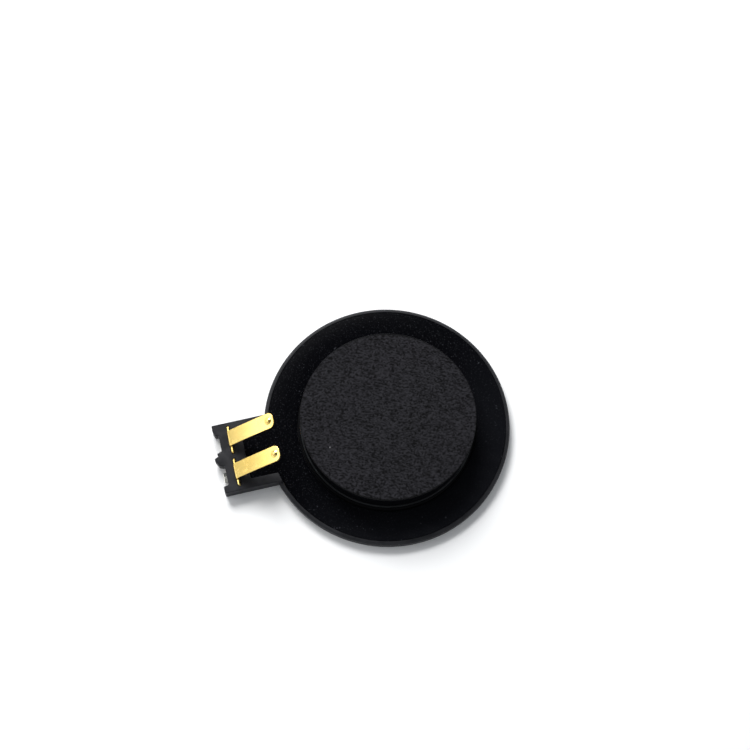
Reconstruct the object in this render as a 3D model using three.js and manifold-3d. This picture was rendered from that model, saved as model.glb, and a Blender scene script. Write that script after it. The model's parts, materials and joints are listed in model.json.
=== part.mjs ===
// Coin vibration motor in a round plastic holder with a two-contact terminal block.
// Millimetres, +Z up. The origin is on the shaft's axis, at the underside of the motor.
// The terminal block points along -X. The cushion pad is the topmost flat face.

import * as THREE from 'three';
import { mergeVertices } from 'three/addons/utils/BufferGeometryUtils.js';
import Module from 'manifold-3d';

const wasm = await Module();
wasm.setup();

// ---------------------------------------------------------------- clearances
const snug = 0.01;          // bonded or pressed joints between round pieces
const slip = 0.03;          // pieces that slide into a seat, and the bearing's running fit
const play = 0.02;          // axial play of the rotor, and of the brushes under it
const airGap = 0.12;        // between the magnet and the turning board

// ---------------------------------------------------------------- motor case
const caseRadius = 6.0;
const caseHeight = 2.7;
const caseWall = 0.2;
const caseCorner = 0.12;    // rounded edge between the wall and the top
const baseThickness = 0.2;
const bossRadius = 0.9;     // raised collar of the base plate that grips the shaft
const bossHeight = 0.5;
const shaftRadius = 0.4;
const shaftSink = 0.1;      // how far the shaft sits in the base plate and in the case

// ---------------------------------------------------------------- magnet and flex circuit
const magnetGap = 0.3;      // from the magnet to the case's wall
const magnetInnerRadius = 2.9;
const magnetHeight = 0.8;
const flexThickness = 0.1;
const flexGap = 0.2;        // from the flex circuit's disc to the case's wall
const flexTongueWidth = 3.3;
const flexDropStart = 0.4;  // the tongue steps down outside the case, between these two,
const flexDropEnd = 1.4;    // counted from its wall
const flexLift = 0.02;      // height of the tongue above the resting face at its end

// ---------------------------------------------------------------- rotor
const boardThickness = 0.12;
const rotorGap = 0.5;       // from the rotor to the case's wall
const segmentCount = 6;
const segmentInnerRadius = 1.0;
const segmentOuterRadius = 2.2;
const segmentThickness = 0.05;
const segmentGap = 8;       // degrees between two commutator segments
const coilOuterRadius = 1.5;
const coilInnerRadius = 0.55;
const coilHeight = 0.6;
const coilInset = 0.35;     // from a coil to the rotor's edge
const coilGap = 0.17;       // between a coil and the weight
const coilEdge = 0.72;      // from a coil to the end of the fan-shaped rotor
const weightSpan = 92;      // degrees
const weightInnerRadius = 2.6;
const weightHeight = 0.9;
const mouldingHeight = 0.7;
const sleeveRadius = 0.75;
const sleeveWall = 0.2;     // resin between the sleeve and the fan's cut-out
const hubRim = 0.1;         // the hub's rim outside the commutator
const washerRadius = 0.85;
const washerThickness = 0.1;
const restAngle = 40;       // degrees from +X to the weight, as the rotor comes to rest

// ---------------------------------------------------------------- brushes
const brushWidth = 0.35;
const brushThickness = 0.06;
const brushOffset = 1.4;    // from the shaft's axis to the middle of a brush, across it
const brushFootStart = 2.2;
const brushFootEnd = 1.6;
const brushTipReach = 0.35; // past the axis
const brushTipFlat = 0.3;   // length of the flat tip
const brushTipBack = 0.1;

// ---------------------------------------------------------------- cushion pad on the case
const padThickness = 0.3;
const padInset = 0.06;
const tapeThickness = 0.05;

// ---------------------------------------------------------------- holder
const holderRadius = 8.5;
const rimHeight = 0.77;
const rimChamfer = 0.12;
const footChamfer = 0.1;
const rimWidth = 0.25;
const ringThickness = 0.1;
const ringDrop = 0.02;      // the damping ring lies this far under the rim
const beadWidth = 0.18;     // adhesive bead at the foot of the case
const beadHeight = 0.15;

// ---------------------------------------------------------------- terminal block
const blockHeight = 1.05;
const blockBevel = 0.05;
const blockLength = 2.98;   // from the flange's edge to the outer face of the crossbar
const prongLength = 0.35;
const keyPoint = 0.22;      // the middle prong's point stands out this far from the others
const blockOverlap = 0.6;   // how far the block runs in under the ring's seat
const hookWidth = 0.4;      // upper corner prong: its flat end, and its hooked back
const hookReturn = 0.12;
const hookBase = 0.78;
const cornerWidth = 0.48;   // lower corner prong: at its end and at its root
const cornerBase = 0.55;
const keyRise = [0.4, 0.2, 0.08];     // half-widths of the key on its upper side
const keyFall = [0.06, 0.46, 0.56];   // and on its lower side
const keyShoulder = 0.06;
const sideWall = 0.28;      // beside the contact slots
const grooveSide = 0.15;    // beside the flex circuit's tongue, under the block
const crossbar = 1.53;      // from its outer face to the pocket under the blades
const pocketSide = 0.115;   // beside the blades
const tabOverlap = 1.2;     // the ring's tab, on the pocket's floor, starts this far inside it

// ---------------------------------------------------------------- spring contacts
const contactPitch = 2.32;
const contactThickness = 0.12;
const rootSetback = 0.74;   // from the crossbar's outer face to the upright plate's middle
const rootWidth = 1.92;
const rootProud = 0.13;     // the shoulders stand this far out of the block
const legWidth = 0.7;
const legTop = 0.45;        // where the upright plate narrows to its leg
const footOutA = 0.02;      // how far the solder feet stand out of the crossbar
const footOutB = 0.24;
const bladeWidth = 1.05;
const bladeLength = 3.68;
const bladeRiseA = 35;      // degrees above the holder, unloaded
const bladeRiseB = 36.5;
const foldHeight = 1.42;
const foldRadius = 0.1;     // inside of the fold
const foldGap = 0.02;
const tipRadius = 0.4;
const bumpRadius = 0.2;
const bumpHeight = 0.1;
const bumpInset = 0.42;     // from the blade's tip to the middle of the bump
const solderWidth = 1.1;
const solderLength = 0.55;
const solderCover = 0.06;   // room over the foot for the solder
const solderSlope = 0.1;

// ---------------------------------------------------------------- facets
const roundSteps = 96;      // on the big circles
const smallSteps = 32;      // on the shaft, sleeve and washers
const coilSteps = 48;

// ---------------------------------------------------------------- derived sizes
const radians = Math.PI / 180;

// The angle, in degrees, that a width takes up at the coils' distance from the axis.
function spread(width) {
  return Math.asin(width / coilPitchRadius) / radians;
}

const caseInnerRadius = caseRadius - caseWall;
const caseRoof = caseHeight - caseWall;
const flexTop = baseThickness + flexThickness;
const flexDiscRadius = caseInnerRadius - flexGap;
const magnetOuterRadius = caseInnerRadius - magnetGap;
const rotorRadius = caseInnerRadius - rotorGap;
const coilPitchRadius = rotorRadius - coilInset - coilOuterRadius;
const coilAngle = weightSpan / 2 + spread(coilOuterRadius + coilGap);
const rotorSpan = 2 * (coilAngle + spread(coilOuterRadius + coilEdge));
const bossTop = baseThickness + bossHeight;
const magnetTop = flexTop + magnetHeight;
const boardBottom = magnetTop + airGap;
const boardTop = boardBottom + boardThickness;
const segmentBottom = boardBottom - segmentThickness;
const sleeveBottom = bossTop + washerThickness + play;
const sleeveTop = caseRoof - washerThickness - play;
const tapeTop = caseHeight + tapeThickness;
const padRadius = caseRadius - padInset;
const ringTop = rimHeight - ringDrop;
const ringSeat = ringTop - ringThickness;
const seatRadius = holderRadius - rimWidth;
const boreRadius = caseRadius + slip;
const slotHalfWidth = rootWidth / 2 + slip;
const slotHalfThickness = contactThickness / 2 + snug;
const blockHalfWidth = contactPitch / 2 + slotHalfWidth + sideWall;
const wallReach = holderRadius + blockLength;
const hookReach = wallReach + prongLength;
const keyTipReach = hookReach + keyPoint;
const rootReach = wallReach - rootSetback;
const pocketStart = wallReach - crossbar;
const pocketHalfWidth = contactPitch / 2 + bladeWidth / 2 + pocketSide;
const grooveHalfWidth = flexTongueWidth / 2 + grooveSide;
const footBottom = flexLift + flexThickness;
const grooveHeight = Math.max(flexTop, footBottom + contactThickness + solderCover);
const flexEnd = wallReach - slip;

// ---------------------------------------------------------------- solids

// A closed geometry as a solid, with its shared vertices merged and its faces pointing out.
function solid(geometry) {
  const bare = geometry.clone();
  bare.deleteAttribute('normal');
  bare.deleteAttribute('uv');
  const merged = mergeVertices(bare, 1e-5);
  const position = merged.attributes.position;
  const index = Array.from(merged.index.array);
  const a = new THREE.Vector3();
  const b = new THREE.Vector3();
  const c = new THREE.Vector3();
  const kept = [];
  let volume = 0;
  for (let i = 0; i < index.length; i += 3) {
    const [i0, i1, i2] = index.slice(i, i + 3);
    if (i0 === i1 || i1 === i2 || i2 === i0) continue;
    a.fromBufferAttribute(position, i0);
    b.fromBufferAttribute(position, i1);
    c.fromBufferAttribute(position, i2);
    volume += a.dot(b.cross(c)) / 6;
    kept.push(i0, i1, i2);
  }
  if (volume < 0) kept.reverse();
  return new wasm.Manifold(new wasm.Mesh({
    numProp: 3,
    vertProperties: new Float32Array(position.array),
    triVerts: new Uint32Array(kept),
  }));
}

// A solid back as a geometry, ready for a mesh.
function geometryOf(body) {
  const { vertProperties, triVerts } = body.getMesh();
  const geometry = new THREE.BufferGeometry();
  geometry.setAttribute('position', new THREE.BufferAttribute(vertProperties, 3));
  geometry.setIndex(new THREE.BufferAttribute(triVerts, 1));
  geometry.computeVertexNormals();
  return geometry;
}

// A box between two corners.
function boxBetween(x0, x1, y0, y1, z0, z1) {
  const box = new THREE.BoxGeometry(x1 - x0, y1 - y0, z1 - z0);
  box.translate((x0 + x1) / 2, (y0 + y1) / 2, (z0 + z1) / 2);
  return solid(box);
}

// A profile of [radius, height] points turned about Z. It closes on itself or on the axis.
function turned(profile, steps = roundSteps) {
  const points = profile.map(([r, z]) => new THREE.Vector2(r, z));
  if (profile[0][0] > 0) points.push(points[0].clone());
  return solid(new THREE.LatheGeometry(points, steps).rotateX(Math.PI / 2));
}

// A plain disc or, with an inner radius, a flat ring.
function ring(inner, outer, z0, z1, steps = roundSteps) {
  return turned([[inner, z0], [outer, z0], [outer, z1], [inner, z1]], steps);
}

// A flat outline in X and Y, raised from z0 to z1, with an optional bevel at top and bottom.
function raised(shape, z0, z1, bevel = 0, steps = 12) {
  const geometry = new THREE.ExtrudeGeometry(shape, {
    depth: z1 - z0 - 2 * bevel,
    steps: 1,
    curveSegments: steps,
    bevelEnabled: bevel > 0,
    bevelThickness: bevel,
    bevelSize: bevel,
    bevelOffset: -bevel,
    bevelSegments: 1,
  });
  return solid(geometry.translate(0, 0, z0 + bevel));
}

// A side profile of [x, z] points carried across Y, from -width / 2 to +width / 2.
function acrossY(points, width) {
  const shape = new THREE.Shape(points.map(([x, z]) => new THREE.Vector2(x, z)));
  const geometry = new THREE.ExtrudeGeometry(shape, { depth: width, steps: 1, bevelEnabled: false });
  return solid(geometry.rotateX(Math.PI / 2).translate(0, width / 2, 0));
}

// The outline of a thin strip that follows a line of [x, z] points at an even thickness.
function stripOutline(line, thickness) {
  const points = line.map(([x, z]) => new THREE.Vector2(x, z));
  const upper = [];
  const lower = [];
  points.forEach((point, i) => {
    const before = points[Math.max(i - 1, 0)];
    const after = points[Math.min(i + 1, points.length - 1)];
    const into = (i === 0 ? after.clone().sub(point) : point.clone().sub(before)).normalize();
    const out = (i === points.length - 1 ? into.clone() : after.clone().sub(point)).normalize();
    const miter = into.clone().add(out).normalize();
    const reach = thickness / 2 / miter.dot(into);
    const side = new THREE.Vector2(-miter.y, miter.x).multiplyScalar(reach);
    upper.push([point.x + side.x, point.y + side.y]);
    lower.unshift([point.x - side.x, point.y - side.y]);
  });
  return upper.concat(lower);
}

// A sector of a flat ring, centred on the given angle, in degrees.
function sector(inner, outer, centre, span, z0, z1) {
  const start = (centre - span / 2) * radians;
  const end = (centre + span / 2) * radians;
  const shape = new THREE.Shape();
  shape.absarc(0, 0, outer, start, end, false);
  shape.absarc(0, 0, inner, end, start, true);
  shape.closePath();
  return raised(shape, z0, z1, 0, Math.max(3, Math.round(span / 10)));
}

const group = new THREE.Group();

function add(name, body, material, parent = group) {
  const mesh = new THREE.Mesh(geometryOf(body), material);
  mesh.name = name;
  parent.add(mesh);
  return mesh;
}

function finish(color, roughness, metalness) {
  return new THREE.MeshStandardMaterial({ color, roughness, metalness });
}

// ---------------------------------------------------------------- holder and its ring

// The terminal block seen from above: a crossbar with a hooked prong at each corner and
// a pointed key between them. It runs back into the flange as far as the ring's seat.
function blockOutline() {
  const root = seatRadius - blockOverlap;
  const w = blockHalfWidth;
  const points = [
    [-root, w], [-hookReach, w], [-hookReach, w - hookWidth],
    [-hookReach + hookReturn, w - hookBase], [-wallReach, w - hookBase],
    [-wallReach, keyRise[0] + hookReturn], [-hookReach, keyRise[0]],
    [-hookReach + keyShoulder, keyRise[1]], [-keyTipReach, keyRise[2]],
    [-keyTipReach, -keyFall[0]], [-hookReach, -keyFall[1]], [-wallReach, -keyFall[2]],
    [-wallReach, -w + cornerBase], [-hookReach, -w + cornerWidth], [-hookReach, -w], [-root, -w],
  ];
  return new THREE.Shape(points.map(([x, y]) => new THREE.Vector2(x, y)));
}

function holder() {
  const flange = turned([
    [boreRadius, 0], [holderRadius - footChamfer, 0], [holderRadius, footChamfer],
    [holderRadius, rimHeight - rimChamfer], [holderRadius - rimChamfer, rimHeight],
    [seatRadius, rimHeight], [seatRadius, ringSeat], [boreRadius, ringSeat],
  ]);
  const block = raised(blockOutline(), 0, blockHeight, blockBevel)
    .subtract(ring(0, seatRadius, ringSeat, blockHeight + 1))
    .subtract(ring(0, boreRadius + 0.1, -1, blockHeight));
  const groove = boxBetween(
    -wallReach - 1, -boreRadius + 1, -grooveHalfWidth, grooveHalfWidth, -1, grooveHeight);
  const pocket = boxBetween(
    -pocketStart, -seatRadius + 1, -pocketHalfWidth, pocketHalfWidth, ringSeat, blockHeight + 1);
  let body = flange.add(block).subtract(groove).subtract(pocket);
  for (const side of [1, -1]) {
    const y = side * contactPitch / 2;
    const x0 = -rootReach - slotHalfThickness;
    const x1 = -rootReach + slotHalfThickness;
    const legHalf = legWidth / 2 + slip;
    body = body
      .subtract(boxBetween(x0, x1, y - slotHalfWidth, y + slotHalfWidth, legTop, blockHeight + 1))
      .subtract(boxBetween(x0, x1, y - legHalf, y + legHalf, 0, legTop + 0.1));
  }
  return body;
}

// A thin sheet on the flange, with a tab that lines the pocket under the blades.
function dampingRing() {
  const tabHalf = pocketHalfWidth - slip;
  return ring(boreRadius + beadWidth, seatRadius - slip, ringSeat, ringTop)
    .add(boxBetween(-pocketStart + slip, -seatRadius + tabOverlap, -tabHalf, tabHalf,
      ringSeat, ringTop));
}

const blackPlastic = finish(0x26272b, 0.62, 0);
add('holder', holder(), blackPlastic);
add('damping_ring', dampingRing(), finish(0x0c0d10, 0.42, 0));
add('case_bead', turned([
  [caseRadius + snug, ringSeat], [boreRadius + beadWidth - snug, ringSeat],
  [boreRadius + beadWidth - snug, ringTop], [caseRadius + snug, ringSeat + beadHeight],
]), finish(0x17181a, 0.35, 0));

// ---------------------------------------------------------------- motor case and pad

function motorCase() {
  const outer = [[caseInnerRadius, 0], [caseRadius, 0]];
  for (let i = 0; i <= 4; i += 1) {
    const turn = i / 4 * Math.PI / 2;
    outer.push([
      caseRadius - caseCorner + caseCorner * Math.cos(turn),
      caseHeight - caseCorner + caseCorner * Math.sin(turn),
    ]);
  }
  const cup = turned([
    [0, caseRoof + shaftSink], [shaftRadius + snug, caseRoof + shaftSink],
    [shaftRadius + snug, caseRoof], [caseInnerRadius, caseRoof], ...outer, [0, caseHeight],
  ]);
  const doorHalf = flexTongueWidth / 2 + slip;
  const door = boxBetween(-caseRadius - 1, -caseInnerRadius + 1, -doorHalf, doorHalf,
    -1, flexTop + slip);
  return cup.subtract(door);
}

add('motor_case', motorCase(), finish(0x131416, 0.38, 0.6));
add('pad_tape', turned([
  [0, caseHeight], [padRadius - caseCorner, caseHeight],
  [padRadius - caseCorner, tapeTop], [0, tapeTop],
]), finish(0x2a2a2c, 0.5, 0));
add('cushion_pad', turned([
  [0, tapeTop], [padRadius, tapeTop], [padRadius, tapeTop + padThickness],
  [0, tapeTop + padThickness],
]), finish(0x232427, 0.95, 0));

// ---------------------------------------------------------------- base, shaft, magnet, flex

const steel = finish(0x9a9da0, 0.35, 1);
add('base_plate', turned([
  [0, 0], [caseInnerRadius - slip, 0], [caseInnerRadius - slip, baseThickness],
  [bossRadius, baseThickness], [bossRadius, bossTop], [shaftRadius + snug, bossTop],
  [shaftRadius + snug, baseThickness - shaftSink], [0, baseThickness - shaftSink],
]), steel);
add('shaft', turned([
  [0, baseThickness - shaftSink], [shaftRadius, baseThickness - shaftSink],
  [shaftRadius, caseRoof + shaftSink], [0, caseRoof + shaftSink],
], smallSteps), finish(0xc8cacc, 0.2, 1));
add('ring_magnet', ring(magnetInnerRadius, magnetOuterRadius, flexTop, magnetTop),
  finish(0x6f7276, 0.4, 1));

// The flex circuit is a disc under the magnet with a tongue that leaves through the case's
// notch, steps down to the underside of the holder and ends under the solder feet.
function flexCircuit() {
  const disc = ring(bossRadius + slip, flexDiscRadius, baseThickness, flexTop);
  const high = baseThickness + flexThickness / 2;
  const low = flexLift + flexThickness / 2;
  const line = [
    [-flexEnd, low], [-caseRadius - flexDropEnd, low], [-caseRadius - flexDropStart, high],
    [-bossRadius - 1, high],
  ];
  return disc.add(acrossY(stripOutline(line, flexThickness), flexTongueWidth));
}

add('flex_circuit', flexCircuit(), finish(0xb5701d, 0.35, 0));

// ---------------------------------------------------------------- brushes

// A brush is one thin strip: a flat foot on the flex circuit, a rising arm, and a tip
// that bears on the underside of the commutator.
function brush() {
  const foot = flexTop + brushThickness / 2;
  const tip = segmentBottom - play - brushThickness / 2;
  const line = [
    [brushFootStart, foot], [brushFootEnd, foot], [-brushTipReach - brushTipBack + brushTipFlat, tip],
    [-brushTipReach - brushTipBack, tip],
  ];
  return acrossY(stripOutline(line, brushThickness), brushWidth).translate([0, brushOffset, 0]);
}

const bronze = finish(0xc9a04e, 0.3, 1);
add('brush_a', brush(), bronze);
add('brush_b', brush(), bronze).rotation.z = Math.PI;

// ---------------------------------------------------------------- rotor

const rotor = new THREE.Group();
rotor.rotation.z = restAngle * radians;
group.add(rotor);

const sleeveHole = ring(0, sleeveRadius + snug, -1, caseHeight + 1, smallSteps);

function coilPlace(side) {
  const angle = side * coilAngle * radians;
  return [coilPitchRadius * Math.cos(angle), coilPitchRadius * Math.sin(angle), 0];
}

// A fan-shaped slab of the rotor about its shaft.
function fan(z0, z1) {
  return sector(sleeveRadius + sleeveWall, rotorRadius, 0, rotorSpan, z0, z1)
    .add(ring(0, segmentOuterRadius + hubRim, z0, z1))
    .subtract(sleeveHole);
}

function moulding() {
  const fit = snug * 2;
  let body = fan(boardTop, boardTop + mouldingHeight);
  body = body.subtract(sector(weightInnerRadius - fit, rotorRadius + 1, 0, weightSpan + 1,
    boardTop - 1, boardTop + mouldingHeight + 1));
  for (const side of [1, -1]) {
    body = body.subtract(
      ring(0, coilOuterRadius + fit, boardTop - 1, boardTop + coilHeight + fit, coilSteps)
        .translate(coilPlace(side)));
  }
  return body;
}

add('rotor_board', fan(boardBottom, boardTop), finish(0x1f5a38, 0.5, 0), rotor);
add('rotor_moulding', moulding(), finish(0x2b2f36, 0.55, 0), rotor);
add('eccentric_weight', sector(weightInnerRadius, rotorRadius, 0, weightSpan,
  boardTop, boardTop + weightHeight), finish(0x8d8f92, 0.32, 1), rotor);
add('bearing_sleeve', ring(shaftRadius + slip, sleeveRadius, sleeveBottom, sleeveTop,
  smallSteps), finish(0xb08d57, 0.4, 1), rotor);

const copper = finish(0xb8683a, 0.35, 1);
for (const [name, side] of [['coil_a', 1], ['coil_b', -1]]) {
  add(name, ring(coilInnerRadius, coilOuterRadius, boardTop, boardTop + coilHeight,
    coilSteps).translate(coilPlace(side)), copper, rotor);
}
for (let i = 0; i < segmentCount; i += 1) {
  const pitch = 360 / segmentCount;
  add(`commutator_segment_${i + 1}`, sector(segmentInnerRadius, segmentOuterRadius,
    i * pitch, pitch - segmentGap, segmentBottom, boardBottom), finish(0xd9b25a, 0.25, 1), rotor);
}

const washer = finish(0xe8e3d6, 0.6, 0);
add('lower_washer', ring(shaftRadius + slip, washerRadius, bossTop,
  bossTop + washerThickness, smallSteps), washer);
add('upper_washer', ring(shaftRadius + slip, washerRadius, caseRoof - washerThickness,
  caseRoof, smallSteps), washer);

// ---------------------------------------------------------------- spring contacts

// The upright of a contact: shouldered plate in the block's slot, neck up to the fold,
// leg down through the block, and a foot turned outwards for soldering.
function contactRoot(footOut) {
  const half = contactThickness / 2;
  const x0 = -rootReach - half;
  const x1 = -rootReach + half;
  const plate = boxBetween(x0, x1, -rootWidth / 2, rootWidth / 2, legTop, blockHeight + rootProud);
  const neck = boxBetween(x0, x1, -bladeWidth / 2, bladeWidth / 2, legTop, foldHeight - foldGap);
  const leg = boxBetween(x0, x1, -legWidth / 2, legWidth / 2, footBottom, legTop + 0.1);
  const foot = boxBetween(-wallReach - footOut, x1, -legWidth / 2, legWidth / 2,
    footBottom, footBottom + contactThickness);
  return plate.add(neck).add(leg).add(foot);
}

// The springing part of a contact, laid flat: X from the fold's axis towards the tip.
// The fold wraps the axis, and the blade ends round with a raised contact bump.
function contactBlade(rise) {
  const inside = foldRadius;
  const outside = foldRadius + contactThickness;
  const foldSteps = 6;
  const bend = [];
  for (let i = 0; i <= foldSteps; i += 1) {
    const turn = (180 - rise + (rise - 90) * i / foldSteps) * radians;
    bend.push([outside * Math.cos(turn), outside * Math.sin(turn)]);
  }
  for (let i = foldSteps; i >= 0; i -= 1) {
    const turn = (180 - rise + (rise - 90) * i / foldSteps) * radians;
    bend.push([inside * Math.cos(turn), inside * Math.sin(turn)]);
  }
  const half = bladeWidth / 2;
  const outline = new THREE.Shape();
  outline.moveTo(-0.02, -half);
  outline.lineTo(bladeLength - tipRadius, -half);
  outline.absarc(bladeLength - tipRadius, -half + tipRadius, tipRadius, -Math.PI / 2, 0, false);
  outline.absarc(bladeLength - tipRadius, half - tipRadius, tipRadius, 0, Math.PI / 2, false);
  outline.lineTo(-0.02, half);
  outline.closePath();
  const ball = (bumpRadius ** 2 + bumpHeight ** 2) / (2 * bumpHeight);
  const bump = solid(new THREE.SphereGeometry(ball, 20, 12))
    .translate([bladeLength - bumpInset, 0, outside + bumpHeight - ball])
    .subtract(boxBetween(0, bladeLength + 1, -1, 1, -2, inside + 0.02));
  return acrossY(bend, bladeWidth).add(raised(outline, inside, outside)).add(bump);
}

// A low fillet of solder round the foot, on the flex circuit's pad.
function solderJoint() {
  const x1 = -rootReach - contactThickness;
  const x0 = x1 - solderLength;
  const half = solderWidth / 2;
  const top = grooveHeight - slip;
  const profile = [
    [x0, footBottom], [x1, footBottom], [x1 - solderSlope, top], [x0 + solderSlope, top],
  ];
  const bed = acrossY(profile, solderWidth);
  const over = boxBetween(x0 - 1, x1 + 1, -legWidth / 2 - snug, legWidth / 2 + snug,
    footBottom - 1, footBottom + contactThickness + snug);
  return bed.subtract(over).intersect(boxBetween(x0, x1, -half, half, footBottom, grooveHeight));
}

const gold = finish(0xe9c25c, 0.24, 1);
const solder = finish(0xb9bcbe, 0.3, 1);
const contacts = [
  ['a', 1, footOutA, bladeRiseA],
  ['b', -1, footOutB, bladeRiseB],
];
for (const [letter, side, footOut, rise] of contacts) {
  const place = new THREE.Group();
  place.position.y = side * contactPitch / 2;
  group.add(place);
  add(`contact_root_${letter}`, contactRoot(footOut), gold, place);
  add(`solder_joint_${letter}`, solderJoint(), solder, place);
  const blade = add(`contact_blade_${letter}`, contactBlade(rise), gold, place);
  blade.position.set(-rootReach + contactThickness / 2 + foldRadius, 0, foldHeight);
  blade.rotation.y = -rise * radians;
}

export default group;
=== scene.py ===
# %% [markdown]
# # A coin vibration motor in its holder
# A flat motor the size of a shirt button sits in a round plastic holder. Two gilt leaf
# springs on a side block carry the current from a circuit board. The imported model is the
# fixed frame: every piece below is placed from its boxes, and hides the plain solid it
# stands for.

# %% Load the frame
import json
import math

import bmesh
import bpy
import numpy as np
from mathutils import Matrix, Vector


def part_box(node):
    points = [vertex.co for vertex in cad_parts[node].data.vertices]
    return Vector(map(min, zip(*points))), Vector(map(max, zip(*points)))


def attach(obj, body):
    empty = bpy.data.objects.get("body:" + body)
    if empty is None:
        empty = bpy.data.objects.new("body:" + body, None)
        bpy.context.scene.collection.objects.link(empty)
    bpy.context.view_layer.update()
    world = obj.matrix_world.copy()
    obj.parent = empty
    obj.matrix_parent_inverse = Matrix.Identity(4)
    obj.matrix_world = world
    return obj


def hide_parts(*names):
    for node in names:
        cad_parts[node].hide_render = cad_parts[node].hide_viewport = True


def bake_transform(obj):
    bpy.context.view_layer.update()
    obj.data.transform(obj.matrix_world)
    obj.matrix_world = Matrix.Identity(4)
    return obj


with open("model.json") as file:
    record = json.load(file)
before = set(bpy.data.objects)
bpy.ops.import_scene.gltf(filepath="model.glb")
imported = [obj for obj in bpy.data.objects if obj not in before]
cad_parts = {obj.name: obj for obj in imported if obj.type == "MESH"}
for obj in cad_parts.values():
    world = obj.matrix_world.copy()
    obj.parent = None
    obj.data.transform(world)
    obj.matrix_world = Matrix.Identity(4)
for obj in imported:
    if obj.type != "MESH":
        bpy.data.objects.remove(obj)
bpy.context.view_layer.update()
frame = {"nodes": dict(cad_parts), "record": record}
MM = 0.001

# %% [markdown]
# ## Sizes
# The working unit for every outline below is the millimetre, and a mesh is turned into
# metres once, as it is finished. The sizes come from the frame's boxes, so the looks
# follow the design.


# %% Read the sizes from the frame
def low(node):
    """Lowest corner of a node, in millimetres."""
    return np.array(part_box(node)[0]) / MM


def high(node):
    """Highest corner of a node, in millimetres."""
    return np.array(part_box(node)[1]) / MM


HOLDER_R = high("holder")[0]
BLOCK_TOP = high("holder")[2]
RING_TOP = high("damping_ring")[2]
RING_SEAT = low("damping_ring")[2]
RING_R = high("damping_ring")[0]
BEAD_R = high("case_bead")[0]
CASE_R = high("motor_case")[0]
CASE_TOP = high("motor_case")[2]
PAD_R = high("cushion_pad")[0]
PAD_BOTTOM, PAD_TOP = low("cushion_pad")[2], high("cushion_pad")[2]
print("holder", round(HOLDER_R * 2, 2), "case", round(CASE_R * 2, 2), "pad top", round(PAD_TOP, 2))

# %% [markdown]
# ## The camera, the table and the light
# The camera stands high over the near side and is rolled a little. The table is plain white
# and so bright that it fades into the background. A wide soft panel hangs above and behind
# the part, so the dark faces get a soft sheen and the near edge a short shadow. A smaller,
# weaker one at the left shows in the sloping blades.

# %% Camera
VIEW_AZIMUTH, VIEW_ELEVATION, VIEW_ROLL = -17.94, 71.18, 4.82
VIEW_DISTANCE = 91.64 * MM
VIEW_AIM = Vector((0.08, 3.86, 0.0)) * MM


def direction(azimuth, elevation):
    """Unit vector from the part towards a place at that azimuth and elevation, in degrees."""
    a, e = math.radians(azimuth), math.radians(elevation)
    return Vector((math.sin(a) * math.cos(e), -math.cos(a) * math.cos(e), math.sin(e)))


camera = bpy.data.objects.new("camera", bpy.data.cameras.new("camera"))
bpy.context.scene.collection.objects.link(camera)
camera.data.lens, camera.data.sensor_width = 62.4, 36.0
camera.data.clip_start, camera.data.clip_end = 0.001, 10.0
back = direction(VIEW_AZIMUTH, VIEW_ELEVATION)
camera.location = VIEW_AIM + back * VIEW_DISTANCE
aim = (-back).to_track_quat("-Z", "Y").to_matrix()
camera.rotation_euler = (aim @ Matrix.Rotation(math.radians(VIEW_ROLL), 3, "Z")).to_euler()
bpy.context.scene.camera = camera
bpy.context.scene.view_settings.view_transform = "Standard"
print("camera at mm", [round(x / MM, 1) for x in camera.location])


# %% Table, light panels and surroundings
WALL_LIGHT, ROOF_LIGHT = 0.78, 0.13     # the tent's white walls, and the dark hole over it


def panel(name, azimuth, elevation, distance, size, power):
    """A square soft light that faces the part. Distance and size are in millimetres."""
    data = bpy.data.lights.new(name, "AREA")
    data.energy, data.size = power, size * MM
    lamp = bpy.data.objects.new(name, data)
    bpy.context.scene.collection.objects.link(lamp)
    lamp.location = direction(azimuth, elevation) * distance * MM
    lamp.rotation_euler = (-lamp.location).to_track_quat("-Z", "Y").to_euler()


table_half = 600 * MM
table_mesh = bpy.data.meshes.new("table")
corners = [(x * table_half, y * table_half, 0) for x, y in ((-1, -1), (1, -1), (1, 1), (-1, 1))]
table_mesh.from_pydata(corners, [], [(0, 1, 2, 3)])
white = bpy.data.materials.new("white_table")
white.use_nodes = True
white.node_tree.nodes["Principled BSDF"].inputs["Base Color"].default_value = (0.93, 0.93, 0.93, 1)
white.node_tree.nodes["Principled BSDF"].inputs["Roughness"].default_value = 0.8
table_mesh.materials.append(white)
table = bpy.data.objects.new("table", table_mesh)
bpy.context.scene.collection.objects.link(table)

panel("key_panel", 190, 42, 160, 90, 0.37)
panel("side_panel", -110, 34, 160, 80, 0.044)
world = bpy.data.worlds.new("studio")
world.use_nodes = True
sky = world.node_tree
ray = sky.nodes.new("ShaderNodeTexCoord")
parts = sky.nodes.new("ShaderNodeSeparateXYZ")
fade = sky.nodes.new("ShaderNodeMapRange")
fade.interpolation_type = "SMOOTHSTEP"
for socket, value in zip(list(fade.inputs)[1:5], (0.45, 0.9, WALL_LIGHT, ROOF_LIGHT)):
    socket.default_value = value
sky.links.new(ray.outputs["Generated"], parts.inputs["Vector"])
sky.links.new(parts.outputs["Z"], fade.inputs["Value"])
sky.links.new(fade.outputs["Result"], sky.nodes["Background"].inputs["Strength"])
sky.nodes["Background"].inputs["Color"].default_value = (0.93, 0.965, 1.0, 1)
bpy.context.scene.world = world

# %% [markdown]
# ## Making surfaces
# A turned piece is a profile of (radius, height) points carried round the axis. A moulded
# block is an outline with its wall profile carried round it. Both are worked out as whole
# arrays: one row of points for each step, and one four-sided face between neighbours.


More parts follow.
